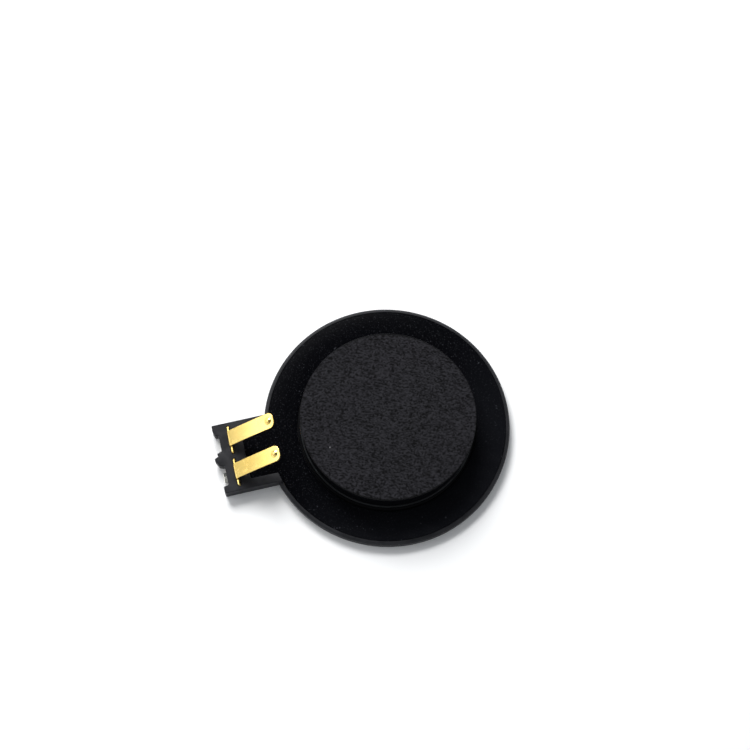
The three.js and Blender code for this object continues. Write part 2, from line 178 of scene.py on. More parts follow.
# %% Grid faces, profiles and rounded corners
def grid_faces(rows, columns, wrap_rows=False, wrap_columns=True):
    """Faces between neighbours of a rows by columns grid of points, numbered row by row."""
    i = np.arange(rows if wrap_rows else rows - 1)
    j = np.arange(columns if wrap_columns else columns - 1)
    i, j = (a.ravel() for a in np.meshgrid(i, j, indexing="ij"))
    i2, j2 = (i + 1) % rows, (j + 1) % columns
    row, next_row = i * columns, i2 * columns
    return np.stack([row + j, row + j2, next_row + j2, next_row + j], axis=1)


def rounded(points, radii, steps=5):
    """An outline with each corner replaced by an arc: the arc touches both sides at
    radius / tan(half the corner) from the corner, and its middle is on their bisector."""
    points = np.asarray(points, float)
    radii = np.broadcast_to(radii, len(points))
    made = []
    for corner, before, after, radius in zip(points, np.roll(points, 1, 0),
                                             np.roll(points, -1, 0), radii):
        a, b = before - corner, after - corner
        la, lb = np.linalg.norm(a), np.linalg.norm(b)
        a, b = a / la, b / lb
        half = math.acos(np.clip(a @ b, -1, 1)) / 2
        if radius <= 0 or half > 1.5:
            made.append(corner[None])
            continue
        reach = min(radius / math.tan(half), 0.45 * min(la, lb))
        radius = reach * math.tan(half)
        middle = corner + (a + b) / np.linalg.norm(a + b) * radius / math.sin(half)
        start, end = corner + a * reach - middle, corner + b * reach - middle
        turn = math.atan2(start[0] * end[1] - start[1] * end[0], start @ end)
        t = np.linspace(0, turn, steps + 1)[:, None]
        side = np.array([-start[1], start[0]])
        made.append(middle + start * np.cos(t) + side * np.sin(t))
    return np.vstack(made)


def arc(middle, radius, start, end, steps):
    """Points on a circle's arc, angles in degrees."""
    t = np.radians(np.linspace(start, end, steps + 1))
    return np.stack([middle[0] + radius * np.cos(t), middle[1] + radius * np.sin(t)], 1)


def turned(profile, steps=256):
    """A profile of (radius, height) carried round Z: x = r cos t, y = r sin t. It closes on
    itself, or on the axis if it starts there."""
    profile = np.asarray(profile, float)
    t = np.linspace(0, 2 * np.pi, steps, endpoint=False)
    r, z = profile[:, :1], profile[:, 1:]
    points = np.stack([r * np.cos(t), r * np.sin(t), z + 0 * t], axis=2).reshape(-1, 3)
    closes = profile[0, 0] > 0
    return points, grid_faces(len(profile), steps, wrap_rows=closes).tolist()


def outline_normals(outline):
    """Outward mitre vectors of an anticlockwise outline, so that a shift by a distance
    moves both of a corner's sides by that distance."""
    after = np.roll(outline, -1, 0) - outline
    after /= np.linalg.norm(after, axis=1, keepdims=True)
    out_after = np.stack([after[:, 1], -after[:, 0]], 1)
    out_before = np.roll(out_after, 1, 0)
    mitre = out_before + out_after
    return mitre / (1 + (out_before * out_after).sum(1, keepdims=True))


def moulded(outline, wall):
    """A wall profile of (shift outwards, height) points carried round an outline, with a
    flat face across each end."""
    outline, wall = np.asarray(outline, float), np.asarray(wall, float)
    normals = outline_normals(outline)
    rows = outline[None] + wall[:, None, :1] * normals[None]
    heights = np.broadcast_to(wall[:, None, 1:], (*rows.shape[:2], 1))
    points = np.concatenate([rows, heights], axis=2).reshape(-1, 3)
    n = len(outline)
    faces = grid_faces(len(wall), n).tolist()
    faces += [list(range(n))[::-1], list(range((len(wall) - 1) * n, len(wall) * n))]
    return points, faces


def edge_round(radius, at, up, steps=4):
    """Wall points of a rounded edge that ends level at height at; up is 1 for a top edge."""
    t = np.linspace(0, np.pi / 2, steps + 1)
    shift, rise = radius * (np.cos(t) - 1), radius * (np.sin(t) - 1)
    points = np.stack([shift, at + up * rise], 1)
    return points if up > 0 else points[::-1]


def mouth(radius, at, steps=4):
    """Wall points of a cutter that flares out to leave a rounded edge at height at."""
    t = np.linspace(0, np.pi / 2, steps + 1)
    points = np.stack([radius * (1 - np.cos(t)), at - radius * (1 - np.sin(t))], 1)
    return np.vstack([points, [radius * 1.6, at + 0.3]])


sample = rounded([(1, 0), (2, 0), (2, 1), (1, 1)], 0.1)
print("a turned ring of 256 steps has", len(turned(sample)[1]), "faces")

# %% [markdown]
# ## Finishing a mesh
# The outlines are in millimetres. Cuts and joins are made at that scale too, because the
# exact Boolean is happier with numbers near one. Then doubles are merged, the normals are
# worked out again, the points become metres, and the piece is given its body and material.


# %% Mesh tools
def raw_mesh(name, points, faces):
    """A mesh in millimetres with its doubles merged and its faces pointing outwards."""
    mesh = bpy.data.meshes.new(name)
    mesh.from_pydata(np.asarray(points, float).tolist(), [], faces)
    work = bmesh.new()
    work.from_mesh(mesh)
    bmesh.ops.remove_doubles(work, verts=work.verts, dist=1e-5)
    bmesh.ops.recalc_face_normals(work, faces=work.faces)
    wide = [f for f in work.faces if len(f.verts) > 4]
    bmesh.ops.triangulate(work, faces=wide, ngon_method="EAR_CLIP")
    work.to_mesh(mesh)
    work.free()
    return mesh


def combine(name, base, steps):
    """Joins and cuts, in order: each step is ("UNION" or "DIFFERENCE", points, faces)."""
    body = bpy.data.objects.new(name, raw_mesh(name, *base))
    bpy.context.scene.collection.objects.link(body)
    for i, (kind, points, faces) in enumerate(steps):
        tool = bpy.data.objects.new(f"{name}_tool_{i}", raw_mesh(f"{name}_tool_{i}", points, faces))
        bpy.context.scene.collection.objects.link(tool)
        modifier = body.modifiers.new("join", "BOOLEAN")
        modifier.operation, modifier.object, modifier.solver = kind, tool, "EXACT"
        bpy.context.view_layer.update()
        graph = bpy.context.evaluated_depsgraph_get()
        made = bpy.data.meshes.new_from_object(body.evaluated_get(graph))
        body.modifiers.clear()
        body.data = made
        bpy.data.objects.remove(tool)
    mesh = body.data
    bpy.data.objects.remove(body)
    return mesh


def place(name, mesh, material, body, stands_for, sharp=32):
    """Turns a millimetre mesh into a finished piece: metres, smooth with sharp corners
    kept, one material, riding on its body and standing for its CAD nodes."""
    points = np.empty(len(mesh.vertices) * 3, np.float32)
    mesh.vertices.foreach_get("co", points)
    mesh.vertices.foreach_set("co", points * MM)
    mesh.shade_smooth()
    mesh.set_sharp_from_angle(angle=math.radians(sharp))
    mesh.name = name
    mesh.materials.clear()
    mesh.materials.append(material)
    piece = bpy.data.objects.new(name, mesh)
    bpy.context.scene.collection.objects.link(piece)
    weights = piece.modifiers.new("flat_faces_stay_flat", "WEIGHTED_NORMAL")
    weights.keep_sharp, weights.weight = True, 90
    if body:
        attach(piece, body)
    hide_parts(*stands_for)
    print(name, len(mesh.polygons), "faces")
    return piece


# %% [markdown]
# ## Finishes
# Three effects are shared: the fine grain of a moulded or rolled surface, fine dust, and
# rubbed marks. Each is a node group that gives a mask, a value or a normal. The shader
# itself stays in the material.


# %% Node helpers
class Nodes:
    """Short calls for building a node tree. Most give the output that is used."""

    def __init__(self, tree):
        self.tree = tree

    def add(self, kind, **settings):
        node = self.tree.nodes.new(kind)
        for key, value in settings.items():
            setattr(node, key, value)
        return node

    def link(self, a, b):
        self.tree.links.new(a, b)

    def feed(self, socket, value):
        """Sets a socket to a number or a colour, or links an output to it."""
        if isinstance(value, (int, float)):
            socket.default_value = value
        elif isinstance(value, tuple):
            socket.default_value = (*value, 1)
        else:
            self.link(value, socket)

    def math(self, operation, a, b=0.0, c=0.0):
        node = self.add("ShaderNodeMath", operation=operation)
        for socket, value in zip(node.inputs, (a, b, c)):
            self.feed(socket, value)
        return node.outputs[0]

    def mix(self, mask, a, b):
        """Colour b where the mask is 1, and a where it is 0."""
        node = self.add("ShaderNodeMix", data_type="RGBA")
        for socket, value in ((node.inputs[0], mask), (node.inputs[6], a), (node.inputs[7], b)):
            self.feed(socket, value)
        return node.outputs[2]

    def noise(self, vector, scale, detail=2.0, roughness=0.5):
        node = self.add("ShaderNodeTexNoise")
        self.link(vector, node.inputs["Vector"])
        for key, value in (("Scale", scale), ("Detail", detail), ("Roughness", roughness)):
            self.feed(node.inputs[key], value)
        return node.outputs["Fac"]

    def ramp(self, value, low_end, high_end):
        """0 at low_end, 1 at high_end, smooth between."""
        node = self.add("ShaderNodeMapRange", interpolation_type="SMOOTHSTEP")
        self.link(value, node.inputs["Value"])
        node.inputs["From Min"].default_value = low_end
        node.inputs["From Max"].default_value = high_end
        return node.outputs["Result"]

    def where(self):
        """The place on the piece, in metres."""
        return self.add("ShaderNodeTexCoord").outputs["Object"]

    def axes(self, vector):
        """A vector's X, Y and Z."""
        node = self.add("ShaderNodeSeparateXYZ")
        self.link(vector, node.inputs["Vector"])
        return node.outputs


def new_group(name, inputs, outputs):
    """An empty node group. Inputs are (name, socket type, value), outputs (name, type). Gives
    its tree, what comes in and what goes out."""
    tree = bpy.data.node_groups.new(name, "ShaderNodeTree")
    for label, kind, value in inputs:
        tree.interface.new_socket(label, in_out="INPUT", socket_type=kind).default_value = value
    for label, kind in outputs:
        tree.interface.new_socket(label, in_out="OUTPUT", socket_type=kind)
    make = Nodes(tree)
    return make, make.add("NodeGroupInput").outputs, make.add("NodeGroupOutput").inputs


FLOAT, VECTOR = "NodeSocketFloat", "NodeSocketVector"

# %% [markdown]
# Grain is a fine noise that lifts the surface by a few thousandths of a millimetre. A wider,
# weaker noise under it keeps a moulded face from looking like ground glass.

# %% Grain group
make, given, out = new_group(
    "fine_grain",
    [("Per Metre", FLOAT, 9000.0), ("Height", FLOAT, 2e-6), ("Wave", FLOAT, 0.4)],
    [("Normal", VECTOR), ("Mottle", FLOAT)],
)
where = make.where()
fine = make.noise(where, given["Per Metre"], 3.0, 0.6)
broad_scale = make.math("MULTIPLY", given["Per Metre"], 0.08)
broad = make.noise(where, broad_scale, 2.0)
height = make.math("MULTIPLY_ADD", broad, given["Wave"], fine)
bump = make.add("ShaderNodeBump")
bump.inputs["Strength"].default_value = 1.0
make.link(given["Height"], bump.inputs["Distance"])
make.link(height, bump.inputs["Height"])
make.link(bump.outputs["Normal"], out["Normal"])
make.link(broad, out["Mottle"])

# %% [markdown]
# Dust is a field of tiny cells. A cell shows a speck only where its own random number is
# high, so the specks are sparse and uneven.

# %% Dust group
make, given, out = new_group(
    "dust_specks",
    [("Per Metre", FLOAT, 3000.0), ("Amount", FLOAT, 0.03), ("Size", FLOAT, 0.25)],
    [("Mask", FLOAT)],
)
where = make.where()
cells = make.add("ShaderNodeTexVoronoi", feature="F1")
make.link(where, cells.inputs["Vector"])
make.link(given["Per Metre"], cells.inputs["Scale"])
pick = make.add("ShaderNodeSeparateColor")
make.link(cells.outputs["Color"], pick.inputs["Color"])
threshold = make.math("SUBTRACT", 1.0, given["Amount"])
chosen = make.math("GREATER_THAN", pick.outputs["Red"], threshold)
size = make.math("MULTIPLY", given["Size"], pick.outputs["Green"])
near = make.math("LESS_THAN", cells.outputs["Distance"], size)
make.link(make.math("MULTIPLY", chosen, near), out["Mask"])

# %% [markdown]
# Rubbed marks are long thin noise, stretched along one direction and cut to its peaks. They
# make the gloss uneven where a sheet or a metal strip has been handled.

# %% Rub group
make, given, out = new_group(
    "rubbed_marks",
    [("Per Metre", FLOAT, 700.0), ("Stretch", FLOAT, 12.0), ("Turn", FLOAT, 0.0)],
    [("Mask", FLOAT)],
)
where = make.where()
spin = make.add("ShaderNodeVectorRotate", rotation_type="Z_AXIS")
make.link(where, spin.inputs["Vector"])
make.link(given["Turn"], spin.inputs["Angle"])
axes = make.axes(spin.outputs["Vector"])
along = make.math("DIVIDE", axes["X"], given["Stretch"])
joined = make.add("ShaderNodeCombineXYZ")
for source, target in ((along, "X"), (axes["Y"], "Y"), (axes["Z"], "Z")):
    make.link(source, joined.inputs[target])
streaks = make.noise(joined.outputs["Vector"], given["Per Metre"], 4.0, 0.7)
make.link(make.ramp(streaks, 0.5, 0.72), out["Mask"])

print("node groups", [g.name for g in bpy.data.node_groups])


# %% Starting a material
def start_material(name, colour, roughness, metallic=0.0, coat=0.0, sheen=0.0, gloss=0.5):
    """A material with its plain values on the shader's own sockets."""
    made = bpy.data.materials.new(name)
    made.use_nodes = True
    tree = Nodes(made.node_tree)
    shader = made.node_tree.nodes["Principled BSDF"]
    shader.inputs["Base Color"].default_value = (*colour, 1)
    for socket, value in (("Roughness", roughness), ("Metallic", metallic), ("Coat Weight", coat),
                          ("Sheen Weight", sheen), ("Specular IOR Level", gloss)):
        shader.inputs[socket].default_value = value
    return made, tree, shader


def use_group(tree, name, **values):
    """Places a shared effect, with its own values for the named inputs. Gives its outputs."""
    node = tree.add("ShaderNodeGroup", node_tree=bpy.data.node_groups[name])
    for key, value in values.items():
        node.inputs[key.replace("_", " ")].default_value = value
    return node.outputs


def join_up(tree, shader, colour, grain, gloss=None):
    """Links a material's colour and grain to its shader, and its roughness where gloss is
    given: (value, slope, base) makes it value * slope + base."""
    tree.link(colour, shader.inputs["Base Color"])
    tree.link(grain["Normal"], shader.inputs["Normal"])
    if gloss:
        tree.link(tree.math("MULTIPLY_ADD", *gloss), shader.inputs["Roughness"])


# %% [markdown]
# The holder is black glass-filled nylon with a spark-eroded grain: dark grey under a strong
# light, satin rather than glossy, with a little dust.


# %% Black plastic
def black_plastic():
    made, tree, shader = start_material("black_plastic", (0.013, 0.0135, 0.0155), 0.5, gloss=0.16)
    grain = use_group(tree, "fine_grain", Per_Metre=13000.0, Height=4.5e-6, Wave=1.2)
    dust = use_group(tree, "dust_specks", Per_Metre=4200.0, Amount=0.03, Size=0.22)
    tint = tree.mix(tree.ramp(grain["Mottle"], 0.35, 0.65),
                    (0.0092, 0.0095, 0.0115), (0.0170, 0.0173, 0.0202))
    colour = tree.mix(dust["Mask"], tint, (0.075, 0.075, 0.08))
    join_up(tree, shader, colour, grain, (grain["Mottle"], 0.25, 0.38))
    return made


# %% [markdown]
# The ring on the flange is a thin black sheet with a pebbled skin. Its glints are painted
# into the colour as tiny pale flakes, a painted highlight that is strongest towards the
# upper left, where the light falls. Towards the lower right the flakes thin out and the
# base is painted a lighter grey, a painted sheen that lifts the shade there, streaked by
# rubbed marks.


# %% Pebbled ring sheet
# The painted glints are strongest, and the painted base darkest, where y - 0.6 x is high,
# towards the light. These are its ramp's ends, in metres.
LIT_SIDE_LEAN, LIT_SIDE_FROM, LIT_SIDE_TO = -0.6, -0.009, 0.003


def ring_sheet():
    made, tree, shader = start_material("ring_sheet", (0.004, 0.0042, 0.0052), 0.3, gloss=0.01)
    grain = use_group(tree, "fine_grain", Per_Metre=11000.0, Height=8e-6, Wave=0.3)
    dust = use_group(tree, "dust_specks", Per_Metre=5200.0, Amount=0.05, Size=0.34)
    rub = use_group(tree, "rubbed_marks", Per_Metre=420.0, Stretch=2.5, Turn=0.6)
    where = tree.where()
    # Painted highlight: pale flakes in the colour stand in for glints on the pebbles.
    painted_glint = tree.ramp(tree.noise(where, 10500.0, 3.0, 0.75), 0.575, 0.71)
    axes = tree.axes(where)
    side = tree.math("MULTIPLY_ADD", axes["X"], LIT_SIDE_LEAN, axes["Y"])
    lit_side = tree.ramp(side, LIT_SIDE_FROM, LIT_SIDE_TO)
    glint_amount = tree.math("MULTIPLY", painted_glint, tree.math("MULTIPLY_ADD", lit_side, 0.6, 0.4))
    # Painted light: the base is lighter towards the lower right, where it lies in shade, with
    # rubbed streaks in it, and darker towards the upper left, where the light falls.
    rubbed_and_shade_lift = tree.mix(rub["Mask"], (0.0052, 0.0055, 0.0070), (0.0070, 0.0073, 0.0090))
    plain = tree.mix(lit_side, rubbed_and_shade_lift, (0.0013, 0.0014, 0.0021))
    with_painted_glints = tree.mix(glint_amount, plain, (0.0360, 0.0375, 0.0430))
    colour = tree.mix(dust["Mask"], with_painted_glints, (0.026, 0.027, 0.032))
    join_up(tree, shader, colour, grain, (rub["Mask"], -0.06, 0.33))
    return made


# %% [markdown]
# The pad is foam with a woven face. The gaps between the threads are painted darker than
# the crowns, a painted shade in the hollows of the weave, and the crushed rim and the cut
# side are painted darker still. A soft sheen lifts the colour where the cloth turns away.


# %% Pad cloth
CLOTH_TURN = math.radians(26.1)


def pad_cloth():
    made, tree, shader = start_material("pad_cloth", (0.010, 0.010, 0.012), 0.95, sheen=0.015,
                                        gloss=0.12)
    crown_and_shade = tree.add("ShaderNodeAttribute", attribute_name="crown_and_shade")
    fibre = use_group(tree, "fine_grain", Per_Metre=14000.0, Height=7e-6, Wave=0.2)
    dust = use_group(tree, "dust_specks", Per_Metre=2300.0, Amount=0.010, Size=0.2)
    # Painted shade: the colour is dark in the gaps of the weave, at the crushed rim and on the cut
    # side, and pale on the thread crowns.
    threads = tree.mix(crown_and_shade.outputs["Fac"], (0.0006, 0.0006, 0.0009), (0.0186, 0.0182, 0.0214))
    join_up(tree, shader, tree.mix(dust["Mask"], threads, (0.12, 0.12, 0.125)), fibre)
    return made


# %% [markdown]
# The contacts are spring bronze with a gold flash. The rolling direction leaves faint lines,
# and the colour is a little deeper where the plating is thin. The feet are tinned.


# %% Gold strip
TIN_LINE = 0.32             # height of the tin on the contacts' feet


def gold_strip():
    made, tree, shader = start_material("gold_strip", (0.97, 0.70, 0.22), 0.27, metallic=1.0)
    rub = use_group(tree, "rubbed_marks", Per_Metre=2600.0, Stretch=14.0)
    grain = use_group(tree, "fine_grain", Per_Metre=5200.0, Height=6e-7, Wave=1.0)
    tinned = tree.math("LESS_THAN", tree.axes(tree.where())["Z"], TIN_LINE * MM)
    gold = tree.mix(grain["Mottle"], (0.95, 0.64, 0.15), (0.98, 0.76, 0.29))
    colour = tree.mix(tinned, gold, (0.86, 0.85, 0.78))
    join_up(tree, shader, colour, grain, (rub["Mask"], 0.14, 0.22))
    return made


# %% [markdown]
# The flex circuit is amber film over copper. Two tracks run along its tongue under the film,
# and end in two bare, tinned pads for the contacts' feet.


# %% Flex circuit film
TRACK_AT, TRACK_HALF, TRACK_START = 1.16, 0.26, 3.0     # from the middle line and the axis
SOLDER_PAD_HALF, SOLDER_PAD_START = 0.44, 10.55


def flex_film():
    made, tree, shader = start_material("flex_film", (0.42, 0.17, 0.025), 0.3, coat=0.4)
    grain = use_group(tree, "fine_grain", Per_Metre=4000.0, Height=8e-7, Wave=0.6)
    axes = tree.axes(tree.where())
    from_middle = tree.math("ABSOLUTE", axes["Y"])
    off_track = tree.math("ABSOLUTE", tree.math("SUBTRACT", from_middle, TRACK_AT * MM))
    outward = tree.math("MULTIPLY", axes["X"], -1.0)
    track = tree.math("MULTIPLY", tree.math("LESS_THAN", off_track, TRACK_HALF * MM),
                      tree.math("GREATER_THAN", outward, TRACK_START * MM))
    pad = tree.math("MULTIPLY", tree.math("LESS_THAN", off_track, SOLDER_PAD_HALF * MM),
                    tree.math("GREATER_THAN", outward, SOLDER_PAD_START * MM))
    film = tree.mix(grain["Mottle"], (0.33, 0.125, 0.018), (0.46, 0.20, 0.03))
    tracks = tree.mix(track, film, (0.52, 0.25, 0.075))
    join_up(tree, shader, tree.mix(pad, tracks, (0.62, 0.62, 0.58)), grain)
    tree.link(pad, shader.inputs["Metallic"])
    return made


# %% [markdown]
# The plainer metals and plastics share one recipe: a colour with a slight mottle, a grain
# of the right fineness, and rubbed marks in the gloss.


# %% A general finish
def worked(name, colour, roughness, metallic, per_metre, height, mottle=0.25, gloss=0.5):
    """A finish whose colour varies by the mottle share, with grain and rubbed gloss."""
    made, tree, shader = start_material(name, colour, roughness, metallic, gloss=gloss)
    grain = use_group(tree, "fine_grain", Per_Metre=per_metre, Height=height, Wave=0.6)
    rub = use_group(tree, "rubbed_marks", Per_Metre=1800.0, Stretch=9.0)
    darker = tuple(c * (1 - mottle) for c in colour)
    join_up(tree, shader, tree.mix(grain["Mottle"], darker, colour), grain,
            (rub["Mask"], 0.12, roughness - 0.04))
    return made


# %% [markdown]
# The cup is coated black. A grey line on the small step near its foot is a painted
# highlight, made patchy by the rubbed marks.


# %% Black cup
STEP_Z, STEP_DEPTH = 1.12, 0.08        # height and depth of the cup's step
HIGHLIGHT_HALF = 0.045                      # half the height of the painted highlight line on it


def black_cup():
    made, tree, shader = start_material("black_cup", (0.0025, 0.0027, 0.0034), 0.36, gloss=0.015)
    grain = use_group(tree, "fine_grain", Per_Metre=7000.0, Height=1e-6, Wave=0.6)
    rub = use_group(tree, "rubbed_marks", Per_Metre=700.0, Stretch=4.0)
    height = tree.axes(tree.where())["Z"]
    from_step = tree.math("ABSOLUTE", tree.math("SUBTRACT", height, STEP_Z * MM))
    # Painted highlight: a grey line on the step, patchy along the rubbed marks.
    on_step = tree.math("LESS_THAN", from_step, HIGHLIGHT_HALF * MM)
    patchy = tree.math("MULTIPLY_ADD", rub["Mask"], 0.5, 0.5)
    painted_highlight = tree.math("MULTIPLY", on_step, patchy)
    coating = tree.mix(grain["Mottle"], (0.0018, 0.0020, 0.0026), (0.0028, 0.0030, 0.0037))
    colour = tree.mix(painted_highlight, coating, (0.034, 0.036, 0.038))
    join_up(tree, shader, colour, grain, (rub["Mask"], 0.08, 0.32))
    return made


# %% All finishes
WORKED = {      # colour, roughness, metallic, grain per metre and height, mottle, gloss
    "tape": ((0.02, 0.02, 0.021), 0.6, 0.0, 9000.0, 2e-6),
    "adhesive": ((0.0024, 0.0025, 0.0031), 0.4, 0.0, 5000.0, 2e-6, 0.25, 0.03),
    "steel": ((0.50, 0.51, 0.52), 0.32, 1.0, 6000.0, 1e-6, 0.1),
    "polished_steel": ((0.62, 0.63, 0.64), 0.12, 1.0, 4000.0, 4e-7),
    "magnet_nickel": ((0.42, 0.42, 0.41), 0.35, 1.0, 5000.0, 2e-6),
    "bronze": ((0.72, 0.46, 0.2), 0.28, 1.0, 6000.0, 8e-7),
    "washer_plastic": ((0.72, 0.69, 0.6), 0.5, 0.0, 9000.0, 1e-6),
    "solder": ((0.56, 0.57, 0.58), 0.25, 1.0, 3000.0, 4e-6),
    "circuit_board": ((0.02, 0.12, 0.05), 0.4, 0.0, 7000.0, 3e-6),
    "rotor_resin": ((0.02, 0.023, 0.03), 0.5, 0.0, 8000.0, 4e-6),
    "tungsten": ((0.36, 0.36, 0.35), 0.42, 1.0, 9000.0, 4e-6),
    "sintered_bronze": ((0.5, 0.33, 0.17), 0.5, 1.0, 12000.0, 5e-6),
    "copper_wire": ((0.62, 0.26, 0.12), 0.3, 1.0, 9000.0, 6e-6),
    "commutator_gold": ((0.85, 0.6, 0.25), 0.22, 1.0, 6000.0, 8e-7),
}
FINISHES = {
    "holder_plastic": black_plastic(),
    "ring_rubber": ring_sheet(),
    "pad_foam": pad_cloth(),
    "gold_plate": gold_strip(),
    "black_case": black_cup(),
    "polyimide": flex_film(),
    **{name: worked(name, *values) for name, values in WORKED.items()},
}
print("finishes", len(FINISHES))

# %% [markdown]
# ## The holder
# One moulding: a flange, and a block with a crossbar, three prongs, contact slots, a pocket
# and a groove under it. It is made as a mould-maker would cut it: the outside shapes are
# joined, then the recesses are cut with tools whose mouths flare, which rounds their edges.

# %% Holder sizes
SLIP = 0.03                 # between pieces that go into one another
RIM_RISE = 0.02             # the rim stands this far above the ring sheet
RIM_WIDTH = 0.25
RIM_TOP = RING_TOP + RIM_RISE
BORE_R = CASE_R + SLIP
SEAT_R = HOLDER_R - RIM_WIDTH
FOOT_CHAMFER, RIM_CHAMFER = 0.1, 0.13
EDGE, FOOT_EDGE = 0.05, 0.03        # rounding of the block's upper and lower edges
STRIP = 0.12                        # thickness of the contacts
LEG_HALF, LEG_TOP = 0.35, 0.45
TONGUE_HALF = 1.65                  # of the flex circuit's tongue
GROOVE_SIDE, GROOVE_TOP = 0.15, 0.3
CROSSBAR = 1.53                     # from the crossbar's outer face to the pocket
POCKET_HALF, POCKET_END = 1.8, -7.3
SIDE_WALL = 0.28                    # beside a contact's plate
KEY_BEYOND, PRONG_LENGTH = 0.22, 0.35


# %% Flange and block outlines
def flange_profile():
    """The flange's section: a wall with a broad top chamfer and a small foot chamfer, all
    corners slightly rounded."""
    corners = [(BORE_R, 0), (HOLDER_R - FOOT_CHAMFER, 0), (HOLDER_R, FOOT_CHAMFER),
               (HOLDER_R, RIM_TOP - RIM_CHAMFER), (HOLDER_R - RIM_CHAMFER, RIM_TOP),
               (BORE_R, RIM_TOP)]
    return rounded(corners, [0, 0.05, 0.05, 0.09, 0.07, 0], 4)


def block_outline():
    """The block from above: prongs at the outer corners, a pointed key between them. Each
    outer corner's radius is above EDGE, so that the outline shifted in doesn't cross. Gives
    the outline, and how far out the crossbar's outer face is."""
    half = high("contact_root_a")[1] + SLIP + SIDE_WALL
    key_tip = -low("holder")[0]
    prong = key_tip - KEY_BEYOND
    wall = prong - PRONG_LENGTH
    corners = [
        (-SEAT_R + 0.6, half), (-prong, half), (-prong, half - 0.4), (-prong + 0.12, half - 0.78),
        (-wall, half - 0.78), (-wall, 0.52), (-prong, 0.4), (-prong + 0.06, 0.2),
        (-key_tip, 0.08), (-key_tip, -0.06), (-prong, -0.46), (-wall, -0.56),
        (-wall, -half + 0.55), (-prong, -half + 0.48), (-prong, -half), (-SEAT_R + 0.6, -half),
    ]
    radii = [0, 0.08, 0.07, 0.07, 0.06, 0.08, 0.07, 0.03,
             0.065, 0.065, 0.07, 0.06, 0.08, 0.07, 0.08, 0]
    return rounded(corners, radii, 4), wall


def box_outline(x0, x1, y0, y1, radius=0.0):
    """A rectangle with rounded corners."""
    return rounded([(x0, y0), (x1, y0), (x1, y1), (x0, y1)], radius, 4)


def slot_cutters(node):
    """The cuts for one contact: a slot for its shouldered plate, and a hole for its leg."""
    y0, (x1, y1, _) = low(node)[1], high(node)
    x0, middle = x1 - STRIP, (y0 + y1) / 2
    slot = box_outline(x0 - 0.01, x1 + 0.01, y0 - SLIP, y1 + SLIP)
    leg = box_outline(x0 - 0.01, x1 + 0.01, middle - LEG_HALF - SLIP, middle + LEG_HALF + SLIP)
    return [("DIFFERENCE", *moulded(slot, np.vstack([[(0, LEG_TOP)], mouth(0.03, BLOCK_TOP)]))),
            ("DIFFERENCE", *moulded(leg, [(0, 0.0), (0, LEG_TOP + 0.05)]))]


# %% Holder
outline, wall_reach = block_outline()
groove_half = TONGUE_HALF + GROOVE_SIDE
block_wall = np.vstack([edge_round(FOOT_EDGE, 0.0, -1), edge_round(EDGE, BLOCK_TOP, 1)])
seat = [(0, RING_SEAT), (SEAT_R, RING_SEAT), (SEAT_R, RIM_TOP + 1), (0, RIM_TOP + 1)]
pocket = box_outline(CROSSBAR - wall_reach, POCKET_END, -POCKET_HALF, POCKET_HALF, 0.1)
groove = box_outline(-wall_reach - 1, -BORE_R + 1, -groove_half, groove_half)
holder_steps = [
    ("UNION", *moulded(outline, block_wall)),
    ("DIFFERENCE", *turned(seat)),
    ("DIFFERENCE", *moulded(pocket, np.vstack([[(0, RING_SEAT)], mouth(0.04, BLOCK_TOP)]))),
    ("DIFFERENCE", *moulded(groove, [(0, -1), (0, GROOVE_TOP)])),
    *slot_cutters("contact_root_a"), *slot_cutters("contact_root_b"),
]
holder_mesh = combine("holder", turned(flange_profile()), holder_steps)
place("holder_moulding", holder_mesh, FINISHES["holder_plastic"], "motor_body", ["holder"])

# %% [markdown]
# ## The ring sheet, the case and its bead
# All three are turned. The sheet is cut from flat stock, so its edges are only just broken,
# and a tab on it lines the pocket under the blades. The case is a drawn cup: a round
# shoulder, an even wall with a small step near its foot, and a notch for the flex circuit.
# The bead of adhesive between sheet and case is not quite even, so its height and width
# wander slowly round the part.

# %% Ring sheet
SHEET_EDGE = 0.02
sheet_in = BEAD_R + 0.01
sheet = rounded([(sheet_in, RING_SEAT), (RING_R, RING_SEAT), (RING_R, RING_TOP),
                 (sheet_in, RING_TOP)], SHEET_EDGE, 3)
# Painted shade: the tab is a black lining in the pocket under the blades, standing in for the deep
# shade there.
shade_lining_end, shade_lining_half = low("damping_ring")[0], POCKET_HALF - SLIP
shade_lining_wall = np.vstack([edge_round(SHEET_EDGE, RING_SEAT, -1, 3),
                      edge_round(SHEET_EDGE, RING_TOP, 1, 3)])
shade_lining = moulded(box_outline(shade_lining_end, -SEAT_R + 1.2, -shade_lining_half, shade_lining_half, 0.12), shade_lining_wall)
place("damping_sheet", combine("sheet", turned(sheet), [("UNION", *shade_lining)]),
      FINISHES["ring_rubber"], "motor_body", ["damping_ring"])

# %% Motor case
CASE_WALL, CASE_CORNER, STEP_EDGE = 0.2, 0.12, 0.03
UPPER_R = CASE_R - STEP_DEPTH
roof = CASE_TOP - CASE_WALL
inner = CASE_R - CASE_WALL
shaft_r, shaft_top = high("shaft")[0] + 0.01, high("shaft")[2]
case_profile = np.vstack([
    [(0, shaft_top), (shaft_r, shaft_top), (shaft_r, roof), (inner - 0.05, roof),
     (inner, roof - 0.05), (inner, 0.03), (inner + 0.03, 0), (CASE_R - 0.04, 0), (CASE_R, 0.04)],
    arc((CASE_R - STEP_EDGE, STEP_Z - STEP_EDGE), STEP_EDGE, 0, 90, 4),
    [(UPPER_R, STEP_Z + 0.01)],
    arc((UPPER_R - CASE_CORNER, CASE_TOP - CASE_CORNER), CASE_CORNER, 0, 90, 8),
    [(0, CASE_TOP)],
])
notch_half = TONGUE_HALF + SLIP
